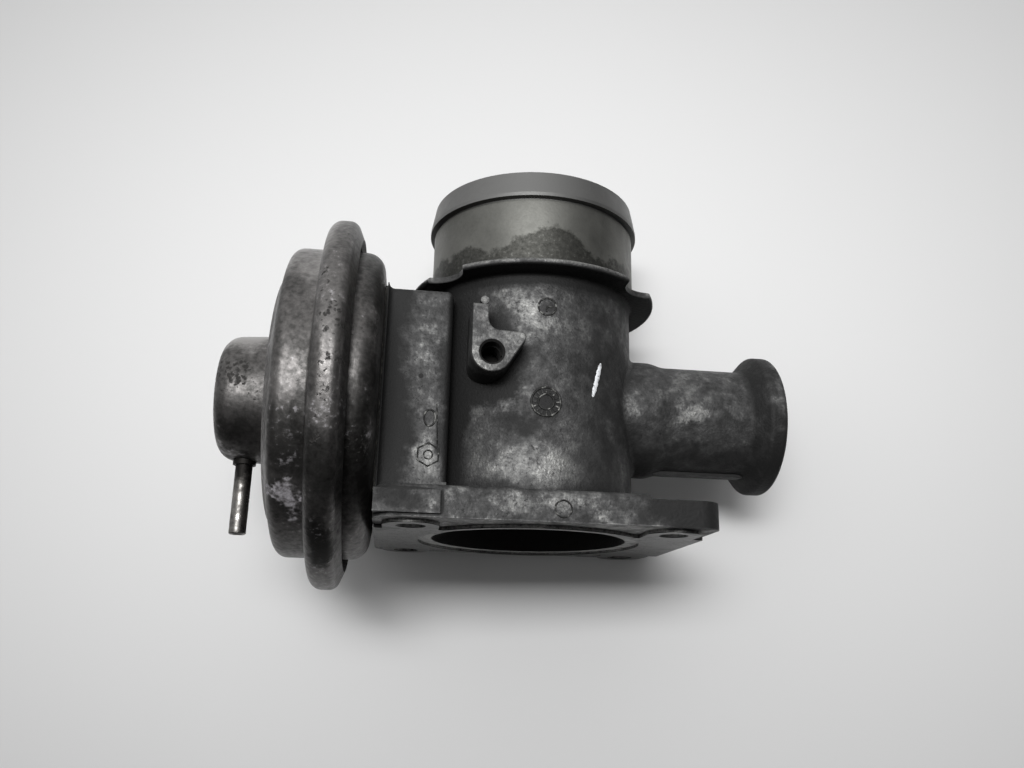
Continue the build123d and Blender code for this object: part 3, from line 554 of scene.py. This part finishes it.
colour = add(tree, "ShaderNodeMix", {"Factor": soot, "A": tint, "B": linear("#141210")}, data_type="RGBA")
metal = add(tree, "ShaderNodeMath", {0: 1.0, 1: soot}, operation="SUBTRACT")
rough = add(tree, "ShaderNodeMapRange", {"Value": soot, "To Min": 0.28, "To Max": 0.8})
end_material(tree, {"Base Color": colour, "Metallic": metal, "Roughness": rough}, feed, 0.25, 0.0001)

# ---------------------------------------------------------------- guide bush
# The sleeve that guides the stem. It is sintered bronze, powder pressed to shape and fired, then
# soaked in oil and pressed into the neck.
# what this gives the eye: dull brown metal with 0.15 mm dark pores
tree, place = new_material("oiled_sintered_bronze", "guide_bush")
pores = add(tree, "ShaderNodeTexVoronoi", {"Vector": place, "Scale": 4000.0})
open_pore = add(tree, "ShaderNodeMapRange", {"Value": pores, "From Min": 0.15, "From Max": 0.32})
stain = add(tree, "ShaderNodeTexNoise", {"Vector": place, "Scale": 350.0, "Detail": 4.0})
tint = add(tree, "ShaderNodeValToRGB", {"Fac": stain})
set_ramp(tint, [(0.35, "#6b4f2c"), (0.65, "#9a7a4a")])
colour = add(tree, "ShaderNodeMix", {"Factor": open_pore, "A": linear("#241a10"), "B": tint},
             data_type="RGBA")
end_material(tree, {"Base Color": colour, "Metallic": open_pore, "Roughness": 0.5}, open_pore, 0.4,
             0.0001)

# ---------------------------------------------------------------- stem seal
# The ring that keeps exhaust gas out of the actuator, pressed from graphite and fine steel wire.
# A small cap holds it round the stem.
# what this gives the eye: soft black with a grey glint where wire comes to the surface
tree, place = new_material("pressed_graphite", "stem_seal")
flakes = add(tree, "ShaderNodeTexVoronoi", {"Vector": place, "Scale": 2500.0})
wire = add(tree, "ShaderNodeTexWave", {"Vector": place, "Scale": 900.0, "Distortion": 6.0, "Detail": 2.0})
glint = add(tree, "ShaderNodeMapRange", {"Value": wire.outputs["Fac"], "From Min": 0.88,
            "From Max": 0.97})
tint = add(tree, "ShaderNodeMix", {"Factor": flakes, "A": linear("#131315"), "B": linear("#2f2f33")},
           data_type="RGBA")
colour = add(tree, "ShaderNodeMix", {"Factor": glint, "A": tint, "B": linear("#6e6e70")},
             data_type="RGBA")
end_material(tree, {"Base Color": colour, "Metallic": glint, "Roughness": 0.48})

# ---------------------------------------------------------------- shell gasket
# The flat seal between neck and dish. It is punched from compressed fibre sheet and clamped by the
# shell screws.
# what this gives the eye: charcoal board with short pale fibres 0.2 mm thick
tree, place = new_material("compressed_fibre_sheet", "shell_gasket")
strands = add(tree, "ShaderNodeMapping", {"Vector": place, "Scale": (5000.0, 5000.0, 900.0),
              "Rotation": (0.6, 0.2, 0.4)})
strands = add(tree, "ShaderNodeTexNoise", {"Vector": strands, "Scale": 1.0, "Detail": 2.0})
tint = add(tree, "ShaderNodeValToRGB", {"Fac": strands})
set_ramp(tint, [(0.40, "#1b1b1a"), (0.62, "#33322f"), (0.72, "#6a675f")])
end_material(tree, {"Base Color": tint, "Roughness": 0.85}, strands, 0.3, 0.0001)

# ---------------------------------------------------------------- screws, washer and nut
# Cold-headed steel, zinc plated and yellow passivated. The screws hold the dish to the neck; washer
# and nut clamp the plates and the diaphragm to the stem.
# what this gives the eye: pale satin metal with faint straw and lilac clouds 3 mm wide
tree, place = new_material("passivated_zinc_plate", "shell_screws", "stem_washer", "stem_nut")
clouds = add(tree, "ShaderNodeTexNoise", {"Vector": place, "Scale": 330.0, "Detail": 3.0})
fine = add(tree, "ShaderNodeTexNoise", {"Vector": place, "Scale": 2600.0, "Detail": 2.0})
tint = add(tree, "ShaderNodeValToRGB", {"Fac": clouds})
set_ramp(tint, [(0.35, "#b3ae9c"), (0.50, "#b9b4b6"), (0.65, "#a9a273")])
rough = add(tree, "ShaderNodeMapRange", {"Value": fine, "From Min": 0.3, "From Max": 0.7, "To Min": 0.26,
            "To Max": 0.42})
end_material(tree, {"Base Color": tint, "Metallic": 1.0, "Roughness": rough}, fine, 0.1, 0.0001)

# ---------------------------------------------------------------- upper and lower shell
# The actuator's can and dish are deep-drawn from 1.2 mm steel and phosphated, and the can's rim is
# rolled over the dish. Two small caps round the stem are pressed from phosphated sheet too.
# what this gives the eye: dull grey-brown satin with stains, clustered black pits and pale corrosion, and
# painted light on the top of the can and the tower
tree, place = new_material("stained_phosphated_steel", "upper_shell", "lower_shell", "seal_retainer",
                           "soot_shield")
film = add(tree, "ShaderNodeTexNoise", {"Vector": place, "Scale": 75.0, "Detail": 6.0, "Roughness": 0.62})
speck = add(tree, "ShaderNodeTexNoise", {"Vector": place, "Scale": 800.0, "Detail": 3.0,
            "Roughness": 0.6})
ragged = shaken(tree, place, film, 0.020)
tone = add(tree, "ShaderNodeMath", {0: film, 1: 0.75, 2: 0.13}, operation="MULTIPLY_ADD")
tone = add_spots(tree, tone, ragged, [
    ((-55, -35, 15), (7, 10, 9), -0.22),      # stains on the can
    ((-52, -36, 21), (3, 8, 9), -0.20),
    ((-55, -22, 66), (9, 26, 30), 0.28),      # painted light: the top of the can and the tower lit from above
    ((-70, -6, 48), (9, 14, 11), 0.45),
    # darker at the bottom of the can and at the top of the dish
    ((-48, -30, -7), (5, 16, 11), -0.46),
    ((-41, -25, 52), (5, 20, 30), -0.16),
    ((-49, -42, 10), (4, 10, 12), -0.20),     # and on the rim
    ((-42, -30, 18), (6, 12, 20), -0.34),     # dish, near the neck
    ((-73, -13, 22), (5, 7, 4), -0.16),       # tower
    ((-70, -5, 17), (6, 10, 2.5), -0.30),
    ((-56, -38, 34), (4, 6, 6), -0.06),
    ((-48.5, -45, 33), (3, 6, 8), 0.12),
])
# corrosion pits 0.3 to 0.9 mm wide, in clusters where the coat broke first
wander = add(tree, "ShaderNodeVectorMath", {0: speck.outputs["Color"], 1: (0.0022, 0.0022, 0.0022)},
             operation="MULTIPLY")
wander = add(tree, "ShaderNodeVectorMath", {0: wander, 1: place}, operation="ADD")
pits = add(tree, "ShaderNodeTexVoronoi", {"Vector": wander, "Scale": 850.0})
broken = add(tree, "ShaderNodeTexNoise", {"Vector": place, "Scale": 95.0, "Detail": 3.0})
broken = add_spots(tree, broken, ragged, [
    ((-72.5, -14, 37), (3.5, 6, 4.5), 0.16),
    ((-51.5, -36, 46), (3.0, 5, 7), 0.14),
    ((-54, -37, 33), (3.0, 5, 6), 0.10),
    ((-48, -42, 50), (2.5, 5, 7), 0.12),
    ((-49, -28, -3), (3.0, 6, 6), 0.14),
    ((-46, -44, 38), (2.5, 5, 10), 0.06),
])
pit_size = add(tree, "ShaderNodeMapRange", {"Value": broken, "From Min": 0.54, "From Max": 0.80,
               "To Min": 0.0, "To Max": 0.60})
pit = add(tree, "ShaderNodeMath", {0: pit_size, 1: pits}, operation="SUBTRACT")
pit = add(tree, "ShaderNodeMapRange", {"Value": pit, "From Min": -0.10, "From Max": 0.12})
# pale corrosion bloom at the bottom of the can
bloom = add_spots(tree, film, ragged, [
    ((-56, -26, 4.5), (5.0, 8, 6), 0.42),
    ((-54, -22, 1.0), (3.5, 6, 5), 0.26),
    ((-53.5, -33, 12), (2.0, 4, 6), 0.14),
])
bloom = add(tree, "ShaderNodeMath", {0: speck, 1: 0.9, 2: bloom}, operation="MULTIPLY_ADD")
bloom = add(tree, "ShaderNodeMapRange", {"Value": bloom, "From Min": 1.12, "From Max": 1.40,
            "To Max": 0.85})
# a specked film over the metal
specks = add(tree, "ShaderNodeMath", {0: speck, 1: 0.7, 2: -0.35}, operation="MULTIPLY_ADD")
specks = add(tree, "ShaderNodeMath", {0: specks, 1: tone}, operation="ADD")
coat = add(tree, "ShaderNodeValToRGB", {"Fac": specks})
set_ramp(coat, [(0.10, "#2b2a29"), (0.35, "#434241"), (0.60, "#615f5e"), (0.90, "#848280")])
salt = add(tree, "ShaderNodeValToRGB", {"Fac": speck})
set_ramp(salt, [(0.38, "#5b585a"), (0.66, "#b2afb4")])
colour = add(tree, "ShaderNodeMix", {"Factor": bloom, "A": coat, "B": salt}, data_type="RGBA")
colour = add(tree, "ShaderNodeMix", {"Factor": pit, "A": colour, "B": linear("#1a1816")},
             data_type="RGBA")
rough = add(tree, "ShaderNodeMapRange", {"Value": specks, "From Min": 0.2, "From Max": 0.8,
            "To Min": 0.52, "To Max": 0.35})
rough = add(tree, "ShaderNodeMath", {0: pit, 1: 0.3, 2: rough}, operation="MULTIPLY_ADD")
rough = add(tree, "ShaderNodeMath", {0: bloom, 1: 0.3, 2: rough}, operation="MULTIPLY_ADD")
dead = add(tree, "ShaderNodeMath", {0: pit, 1: bloom}, operation="MAXIMUM")
dead = add(tree, "ShaderNodeMapRange", {"Value": dead, "To Min": 1.0, "To Max": 0.1})
metal = add(tree, "ShaderNodeMapRange", {"Value": tone, "From Min": 0.50, "From Max": 0.80,
            "To Min": 0.92, "To Max": 0.35})
metal = add(tree, "ShaderNodeMath", {0: metal, 1: dead}, operation="MULTIPLY")
height = add(tree, "ShaderNodeMath", {0: pit, 1: -1.2, 2: speck}, operation="MULTIPLY_ADD")
end_material(tree, {"Base Color": colour, "Metallic": metal, "Roughness": rough}, height, 0.3, 0.0002)

# ---------------------------------------------------------------- vacuum nipple
# The pipe for the vacuum hose, cut from drawn steel tube and brazed into the tower. The hose kept
# its end bright, and its root is dull and sooty.
# what this gives the eye: narrow lengthwise glints, broken by grey scuffs
tree, place = new_material("scuffed_drawn_steel", "vacuum_nipple")
z = add(tree, "ShaderNodeSeparateXYZ", {0: place}).outputs["Z"]
lines = add(tree, "ShaderNodeMapping", {"Vector": place, "Scale": (2600.0, 2600.0, 300.0)})
drawn = add(tree, "ShaderNodeTexNoise", {"Vector": lines, "Scale": 1.0, "Detail": 3.0})
scuff = add(tree, "ShaderNodeTexNoise", {"Vector": place, "Scale": 420.0, "Detail": 4.0,
            "Roughness": 0.65})
root = add(tree, "ShaderNodeMapRange", {"Value": z, "From Min": 0.0085, "From Max": 0.0165, "To Min": 0.0,
           "To Max": 0.55})
dull = add(tree, "ShaderNodeMath", {0: scuff, 1: 1.2, 2: root}, operation="MULTIPLY_ADD")
tint = add(tree, "ShaderNodeValToRGB", {"Fac": dull})
set_ramp(tint, [(0.45, "#868481"), (0.75, "#555351"), (1.0, "#232221")])
rough = add(tree, "ShaderNodeMapRange", {"Value": dull, "From Min": 0.4, "From Max": 0.9, "To Min": 0.16,
            "To Max": 0.5})
rough = add(tree, "ShaderNodeMath", {0: drawn, 1: 0.15, 2: rough}, operation="MULTIPLY_ADD")
end_material(tree, {"Base Color": tint, "Metallic": 1.0, "Roughness": rough}, scuff, 0.25, 0.0002)

# ---------------------------------------------------------------- backing plate and diaphragm plate
# A flat plate and a cup, pressed from sheet steel, with the middle of the diaphragm clamped between
# them. Their phosphate coat is still whole, because no dirt reaches it.
# what this gives the eye: even dark grey crystals 0.3 mm wide with a soft sheen
tree, place = new_material("fresh_phosphated_steel", "backing_plate", "diaphragm_plate")
crystals = add(tree, "ShaderNodeTexVoronoi", {"Vector": place, "Scale": 3300.0})
tint = add(tree, "ShaderNodeMix", {"Factor": crystals.outputs["Color"], "A": linear("#3c3d3e"),
           "B": linear("#57585a")}, data_type="RGBA")
end_material(tree, {"Base Color": tint, "Metallic": 0.8, "Roughness": 0.5}, crystals, 0.2, 0.0001)

# ---------------------------------------------------------------- diaphragm
# Heat-resisting rubber calendered on both sides of a woven cloth, then moulded with its fold and
# bead. The shells grip the bead, and the plates grip the middle.
# what this gives the eye: matt black with the weave's 0.6 mm threads just showing through
tree, place = new_material("fabric_reinforced_rubber")
warp = add(tree, "ShaderNodeTexWave", {"Vector": place, "Scale": 520.0}, bands_direction="Y")
weft = add(tree, "ShaderNodeTexWave", {"Vector": place, "Scale": 520.0}, bands_direction="Z")
weave = add(tree, "ShaderNodeMath", {0: warp.outputs["Fac"], 1: weft.outputs["Fac"]}, operation="MAXIMUM")
bloom = add(tree, "ShaderNodeTexNoise", {"Vector": place, "Scale": 120.0, "Detail": 4.0})
tint = add(tree, "ShaderNodeMix", {"Factor": bloom, "A": linear("#151515"), "B": linear("#2b2a29")},
           data_type="RGBA")
end_material(tree, {"Base Color": tint, "Roughness": 0.62}, weave, 0.25, 0.0001)

MIDDLE_X = -0.0440         # middle of the cloth, between the plates and in the clamp
CLAMP_X = -0.0492
HALF_CLOTH = 0.0004
HOLE_RADIUS = 0.0025
PLATE_RADIUS = 0.0150
FOLD_START = 0.0300
FOLD_WIDTH = 0.0052
BEAD_RADIUS = 0.0394
BEAD_FACE_X = -0.0476      # the fold rolls between the bead's face and the cup's
BEAD = [(-0.0479, BEAD_RADIUS), (BEAD_FACE_X, 0.0397), (BEAD_FACE_X, 0.0417), (-0.0479, 0.0420),
        (-0.0505, 0.0420), (-0.0508, 0.0417), (-0.0508, 0.0397), (-0.0505, BEAD_RADIUS)]
cloth = [(MIDDLE_X, HOLE_RADIUS), (MIDDLE_X, PLATE_RADIUS), (MIDDLE_X, FOLD_START - 0.0015)]
for i in range(25):
    t = i / 24
    cloth.append((MIDDLE_X + (CLAMP_X - MIDDLE_X) * t * t * (3 - 2 * t), FOLD_START + FOLD_WIDTH * t))
cloth.append((CLAMP_X, BEAD_RADIUS))
front, back = [], []
for i, (x, radius) in enumerate(cloth):
    before, after = cloth[max(i - 1, 0)], cloth[min(i + 1, len(cloth) - 1)]
    out = Vector((after[1] - before[1], before[0] - after[0])).normalized() * HALF_CLOTH
    front.append((x + out.x, radius + out.y))
    back.append((x - out.x, radius - out.y))
outline = front + BEAD + back[::-1]
moulding = bmesh.new()
steps = 96
rings = []
for i in range(steps):
    a = 2 * math.pi * i / steps
    rings.append([moulding.verts.new((x, radius * math.sin(a), STEM_Z + radius * math.cos(a)))
                  for x, radius in outline])
join_rows(moulding, rings, closed=True)
rolling_diaphragm = piece_from(moulding, "rolling_diaphragm", "fabric_reinforced_rubber")
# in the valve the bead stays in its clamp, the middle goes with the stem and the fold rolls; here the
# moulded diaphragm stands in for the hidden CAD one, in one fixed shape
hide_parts("diaphragm")
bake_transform(rolling_diaphragm)

# ---------------------------------------------------------------- return spring
# Coiled from patented spring wire, ground at both ends and oiled. It stands between the spring seat
# and the cup, and closes the valve.
# what this gives the eye: blue-black wire with a sharp oily highlight and fine drawing lines
tree, place = new_material("oiled_spring_wire")
oil = add(tree, "ShaderNodeTexNoise", {"Vector": place, "Scale": 260.0, "Detail": 3.0})
fine = add(tree, "ShaderNodeTexNoise", {"Vector": place, "Scale": 2400.0, "Detail": 2.0})
tint = add(tree, "ShaderNodeMix", {"Factor": oil, "A": linear("#2c2d31"), "B": linear("#54545a")},
           data_type="RGBA")
rough = add(tree, "ShaderNodeMapRange", {"Value": fine, "To Min": 0.2, "To Max": 0.5})
end_material(tree, {"Base Color": tint, "Metallic": 1.0, "Roughness": rough})

SPRING_X = -0.0740         # its end on the spring seat
SPRING_LENGTH = 0.0285
coil, given = geometry_tree("coil_spring", ["Turns", "Radius", "Wire", "Length", "Ground"])
turns = add(coil, "GeometryNodeCurveSpiral", {"Resolution": 40, "Rotations": given["Turns"],
            "Start Radius": given["Radius"], "End Radius": given["Radius"], "Height": given["Length"]})
along_wire = add(coil, "GeometryNodeSplineParameter")
last = add(coil, "ShaderNodeMath", {0: given["Length"], 1: given["Ground"]}, operation="SUBTRACT")
# a smooth rise closes the end turns on each other
rise = add(coil, "ShaderNodeMapRange", {"Value": along_wire, "To Min": given["Ground"], "To Max": last},
           interpolation_type="SMOOTHSTEP")
x, y, z = add(coil, "ShaderNodeSeparateXYZ", {"Vector": add(coil, "GeometryNodeInputPosition")}).outputs
risen = add(coil, "ShaderNodeCombineXYZ", {"X": x, "Y": y, "Z": rise})
wound = add(coil, "GeometryNodeSetPosition", {"Geometry": turns, "Position": risen})
upright = add(coil, "GeometryNodeSetCurveNormal", {"Curve": wound}, mode="Z_UP")
wire = add(coil, "GeometryNodeCurvePrimitiveCircle", {"Resolution": 16, "Radius": given["Wire"]})
swept = add(coil, "GeometryNodeCurveToMesh", {"Curve": upright, "Profile Curve": wire, "Fill Caps": True})
flat = add(coil, "ShaderNodeClamp", {"Value": z, "Min": 0.0, "Max": given["Length"]})
ground = add(coil, "ShaderNodeCombineXYZ", {"X": x, "Y": y, "Z": flat})
ground = add(coil, "GeometryNodeSetPosition", {"Geometry": swept, "Position": ground})
end_tree(coil, ground, given["Finish"])
mesh = plain_mesh(coil, "coil_spring", "oiled_spring_wire", {"Turns": 6.0, "Radius": 0.0107,
                  "Wire": 0.0010, "Length": SPRING_LENGTH, "Ground": 0.0003})
mesh.transform(Matrix.Translation((SPRING_X, 0.0, STEM_Z)) @ Matrix.Rotation(math.pi / 2, 4, "Y"))
mesh.shade_smooth()
mesh.set_sharp_from_angle(angle=math.radians(40))
coil_spring = new_object("coil_spring", mesh)
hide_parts("return_spring")
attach(coil_spring, "valve_body")
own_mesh(coil_spring)

# ---------------------------------------------------------------- spring seat
# The ring that centres the spring in the end of the tower. It is moulded from glass-filled nylon,
# and the spring holds it there.
# what this gives the eye: black plastic with a fine spark-eroded grain and grey glass flow lines
tree, place = new_material("glass_filled_nylon", "spring_seat")
grain = add(tree, "ShaderNodeTexNoise", {"Vector": place, "Scale": 3000.0, "Detail": 2.0})
flow = add(tree, "ShaderNodeTexNoise", {"Vector": place, "Scale": 300.0, "Detail": 4.0,
           "Distortion": 1.5})
tint = add(tree, "ShaderNodeValToRGB", {"Fac": flow})
set_ramp(tint, [(0.45, "#1a1a1b"), (0.70, "#39393a")])
end_material(tree, {"Base Color": tint, "Roughness": 0.55}, grain, 0.3, 0.0001)

# ---------------------------------------------------------------- table, lights and camera
# The valve lies on its back on a pale table: the table is the plane that touches its rim, flange
# and collar. Soft daylight comes from above, a little to the left.
TABLE_NORMAL = Vector((0.1856, 0.9714, 0.1482)).normalized()
TABLE_DISTANCE = 0.0408
TABLE_HALF = 0.28

tree, place = new_material("pale_matt_laminate")
dust = add(tree, "ShaderNodeTexNoise", {"Vector": place, "Scale": 6.0, "Detail": 3.0})
tint = add(tree, "ShaderNodeMix", {"Factor": dust, "A": linear("#dedede"), "B": linear("#dadada")},
           data_type="RGBA")
matt = add(tree, "ShaderNodeBsdfPrincipled", {"Base Color": tint, "Roughness": 0.7})
clear = add(tree, "ShaderNodeBsdfTransparent")
side = add(tree, "ShaderNodeNewGeometry")
mix = add(tree, "ShaderNodeMixShader", {0: side.outputs["Backfacing"], 1: matt, 2: clear})
add(tree, "ShaderNodeOutputMaterial", {"Surface": mix})

along = TABLE_NORMAL.cross(Vector((0, 0, 1))).normalized()
up = along.cross(TABLE_NORMAL).normalized()
middle = TABLE_NORMAL * TABLE_DISTANCE
corners = [middle + (along * a + up * b) * TABLE_HALF for a, b in ((-1, -1), (1, -1), (1, 1), (-1, 1))]
mesh = bpy.data.meshes.new("table")
mesh.from_pydata(corners, [], [(0, 1, 2, 3)])
if mesh.polygons[0].normal.dot(TABLE_NORMAL) > 0:
    mesh.flip_normals()
table = new_object("table", mesh)
mesh.materials.append(bpy.data.materials["pale_matt_laminate"])

LAMP_AIM = Vector((-0.015, 0.0, 0.065))
LAMP_DISTANCE = 0.7
towards = Vector((-0.20, -0.97, 0.08)).normalized()
lamp = bpy.data.lights.new("window", "AREA")
lamp.shape = "RECTANGLE"
lamp.size = 0.40
lamp.size_y = 0.13
lamp.energy = 0.36
lamp.spread = math.radians(44)
window = new_object("window", lamp)
turn = towards.to_track_quat("Z", "Y").to_matrix().to_4x4()
window.matrix_world = Matrix.Translation(LAMP_AIM + towards * LAMP_DISTANCE) @ turn

world = bpy.data.worlds.new("room")
bpy.context.scene.world = world
world.use_nodes = True
tree = world.node_tree
tree.nodes.clear()
heading = add(tree, "ShaderNodeTexCoord").outputs["Generated"]
height = add(tree, "ShaderNodeVectorMath", {0: heading, 1: (-0.10, -0.90, 0.42)}, operation="DOT_PRODUCT")
glow = add(tree, "ShaderNodeMapRange", {"Value": height, "From Min": 0.2, "From Max": 0.95,
           "To Min": 0.03, "To Max": 0.20}, interpolation_type="SMOOTHSTEP")
upper = add(tree, "ShaderNodeVectorMath", {0: heading, 1: (-0.42, -0.25, 0.87)}, operation="DOT_PRODUCT")
upper = add(tree, "ShaderNodeMapRange", {"Value": upper, "From Min": 0.0, "From Max": 0.9, "To Min": 0.0,
            "To Max": 0.95}, interpolation_type="SMOOTHSTEP")
glow = add(tree, "ShaderNodeMath", {0: glow, 1: upper}, operation="ADD")
seen = add(tree, "ShaderNodeLightPath")
bright = add(tree, "ShaderNodeMix", {"Factor": seen.outputs["Is Camera Ray"], "A": glow, "B": 0.75},
             data_type="FLOAT")
sky = add(tree, "ShaderNodeBackground", {"Color": linear("#ffffff"), "Strength": bright})
add(tree, "ShaderNodeOutputWorld", {"Surface": sky})

CAMERA_PLACE = (-0.0328, -0.2224, -0.0256)
right = Vector((0.99108, -0.13143, 0.02189))
forward = Vector((0.11992, 0.95149, 0.28334))
down = forward.cross(right).normalized()
right = down.cross(forward).normalized()
forward = right.cross(down).normalized()
lens = bpy.data.cameras.new("camera")
lens.sensor_width = 36.0
lens.lens = 31.87
camera = new_object("camera", lens)
turn = Matrix((right, -down, -forward)).transposed().to_4x4()
camera.matrix_world = Matrix.Translation(CAMERA_PLACE) @ turn
lens.clip_start = 0.01
bpy.context.scene.camera = camera
bpy.context.scene.view_settings.view_transform = "Standard"
